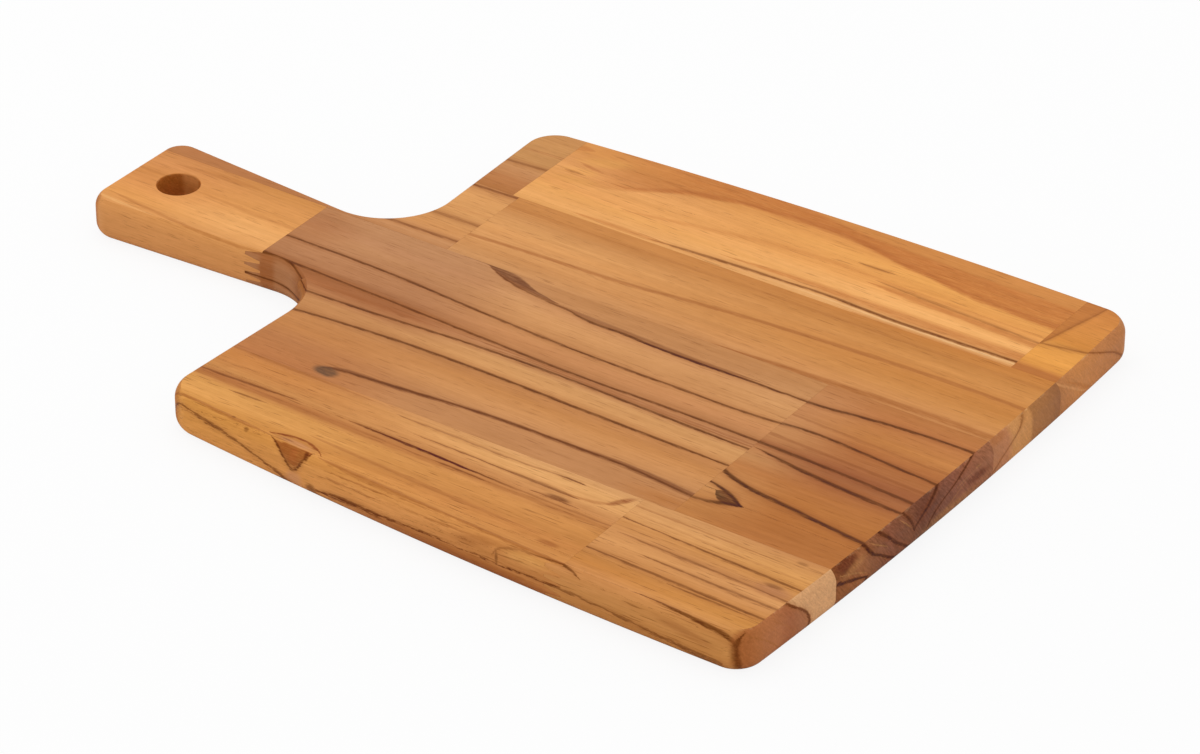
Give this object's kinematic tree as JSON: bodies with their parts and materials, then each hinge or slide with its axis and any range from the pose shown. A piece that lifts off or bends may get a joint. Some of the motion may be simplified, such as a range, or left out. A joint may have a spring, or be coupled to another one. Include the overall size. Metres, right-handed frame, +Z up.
{
  "type": "cutting board with handle",
  "caption": "Paddle-shaped wooden cutting board glued up from finger-jointed teak staves, with a flared handle, a hanging hole and rounded edges.",
  "frame": {"origin": "middle of the bounding box of the underside, on the surface that the board lies on", "axes": "+X along the board from the handle towards the far end, +Y across it to the far side, +Z up through the thickness"},
  "size_m": [0.381, 0.2616, 0.0164],
  "materials": {
    "pale_teak": "oiled, sanded smooth, satin",
    "honey_teak": "oiled, sanded smooth, satin",
    "brown_teak": "oiled, sanded smooth, satin"
  },
  "bodies": {
    "root": {"far_stave_shoulder": "brown_teak", "far_stave_middle": "pale_teak", "far_stave_end": "pale_teak", "second_stave_shoulder": "pale_teak", "second_stave_body": "honey_teak", "centre_stave_handle": "pale_teak", "centre_stave_middle": "honey_teak", "centre_stave_end": "brown_teak", "near_stave_body": "honey_teak", "near_stave_end": "pale_teak"}
  },
  "joints": []
}
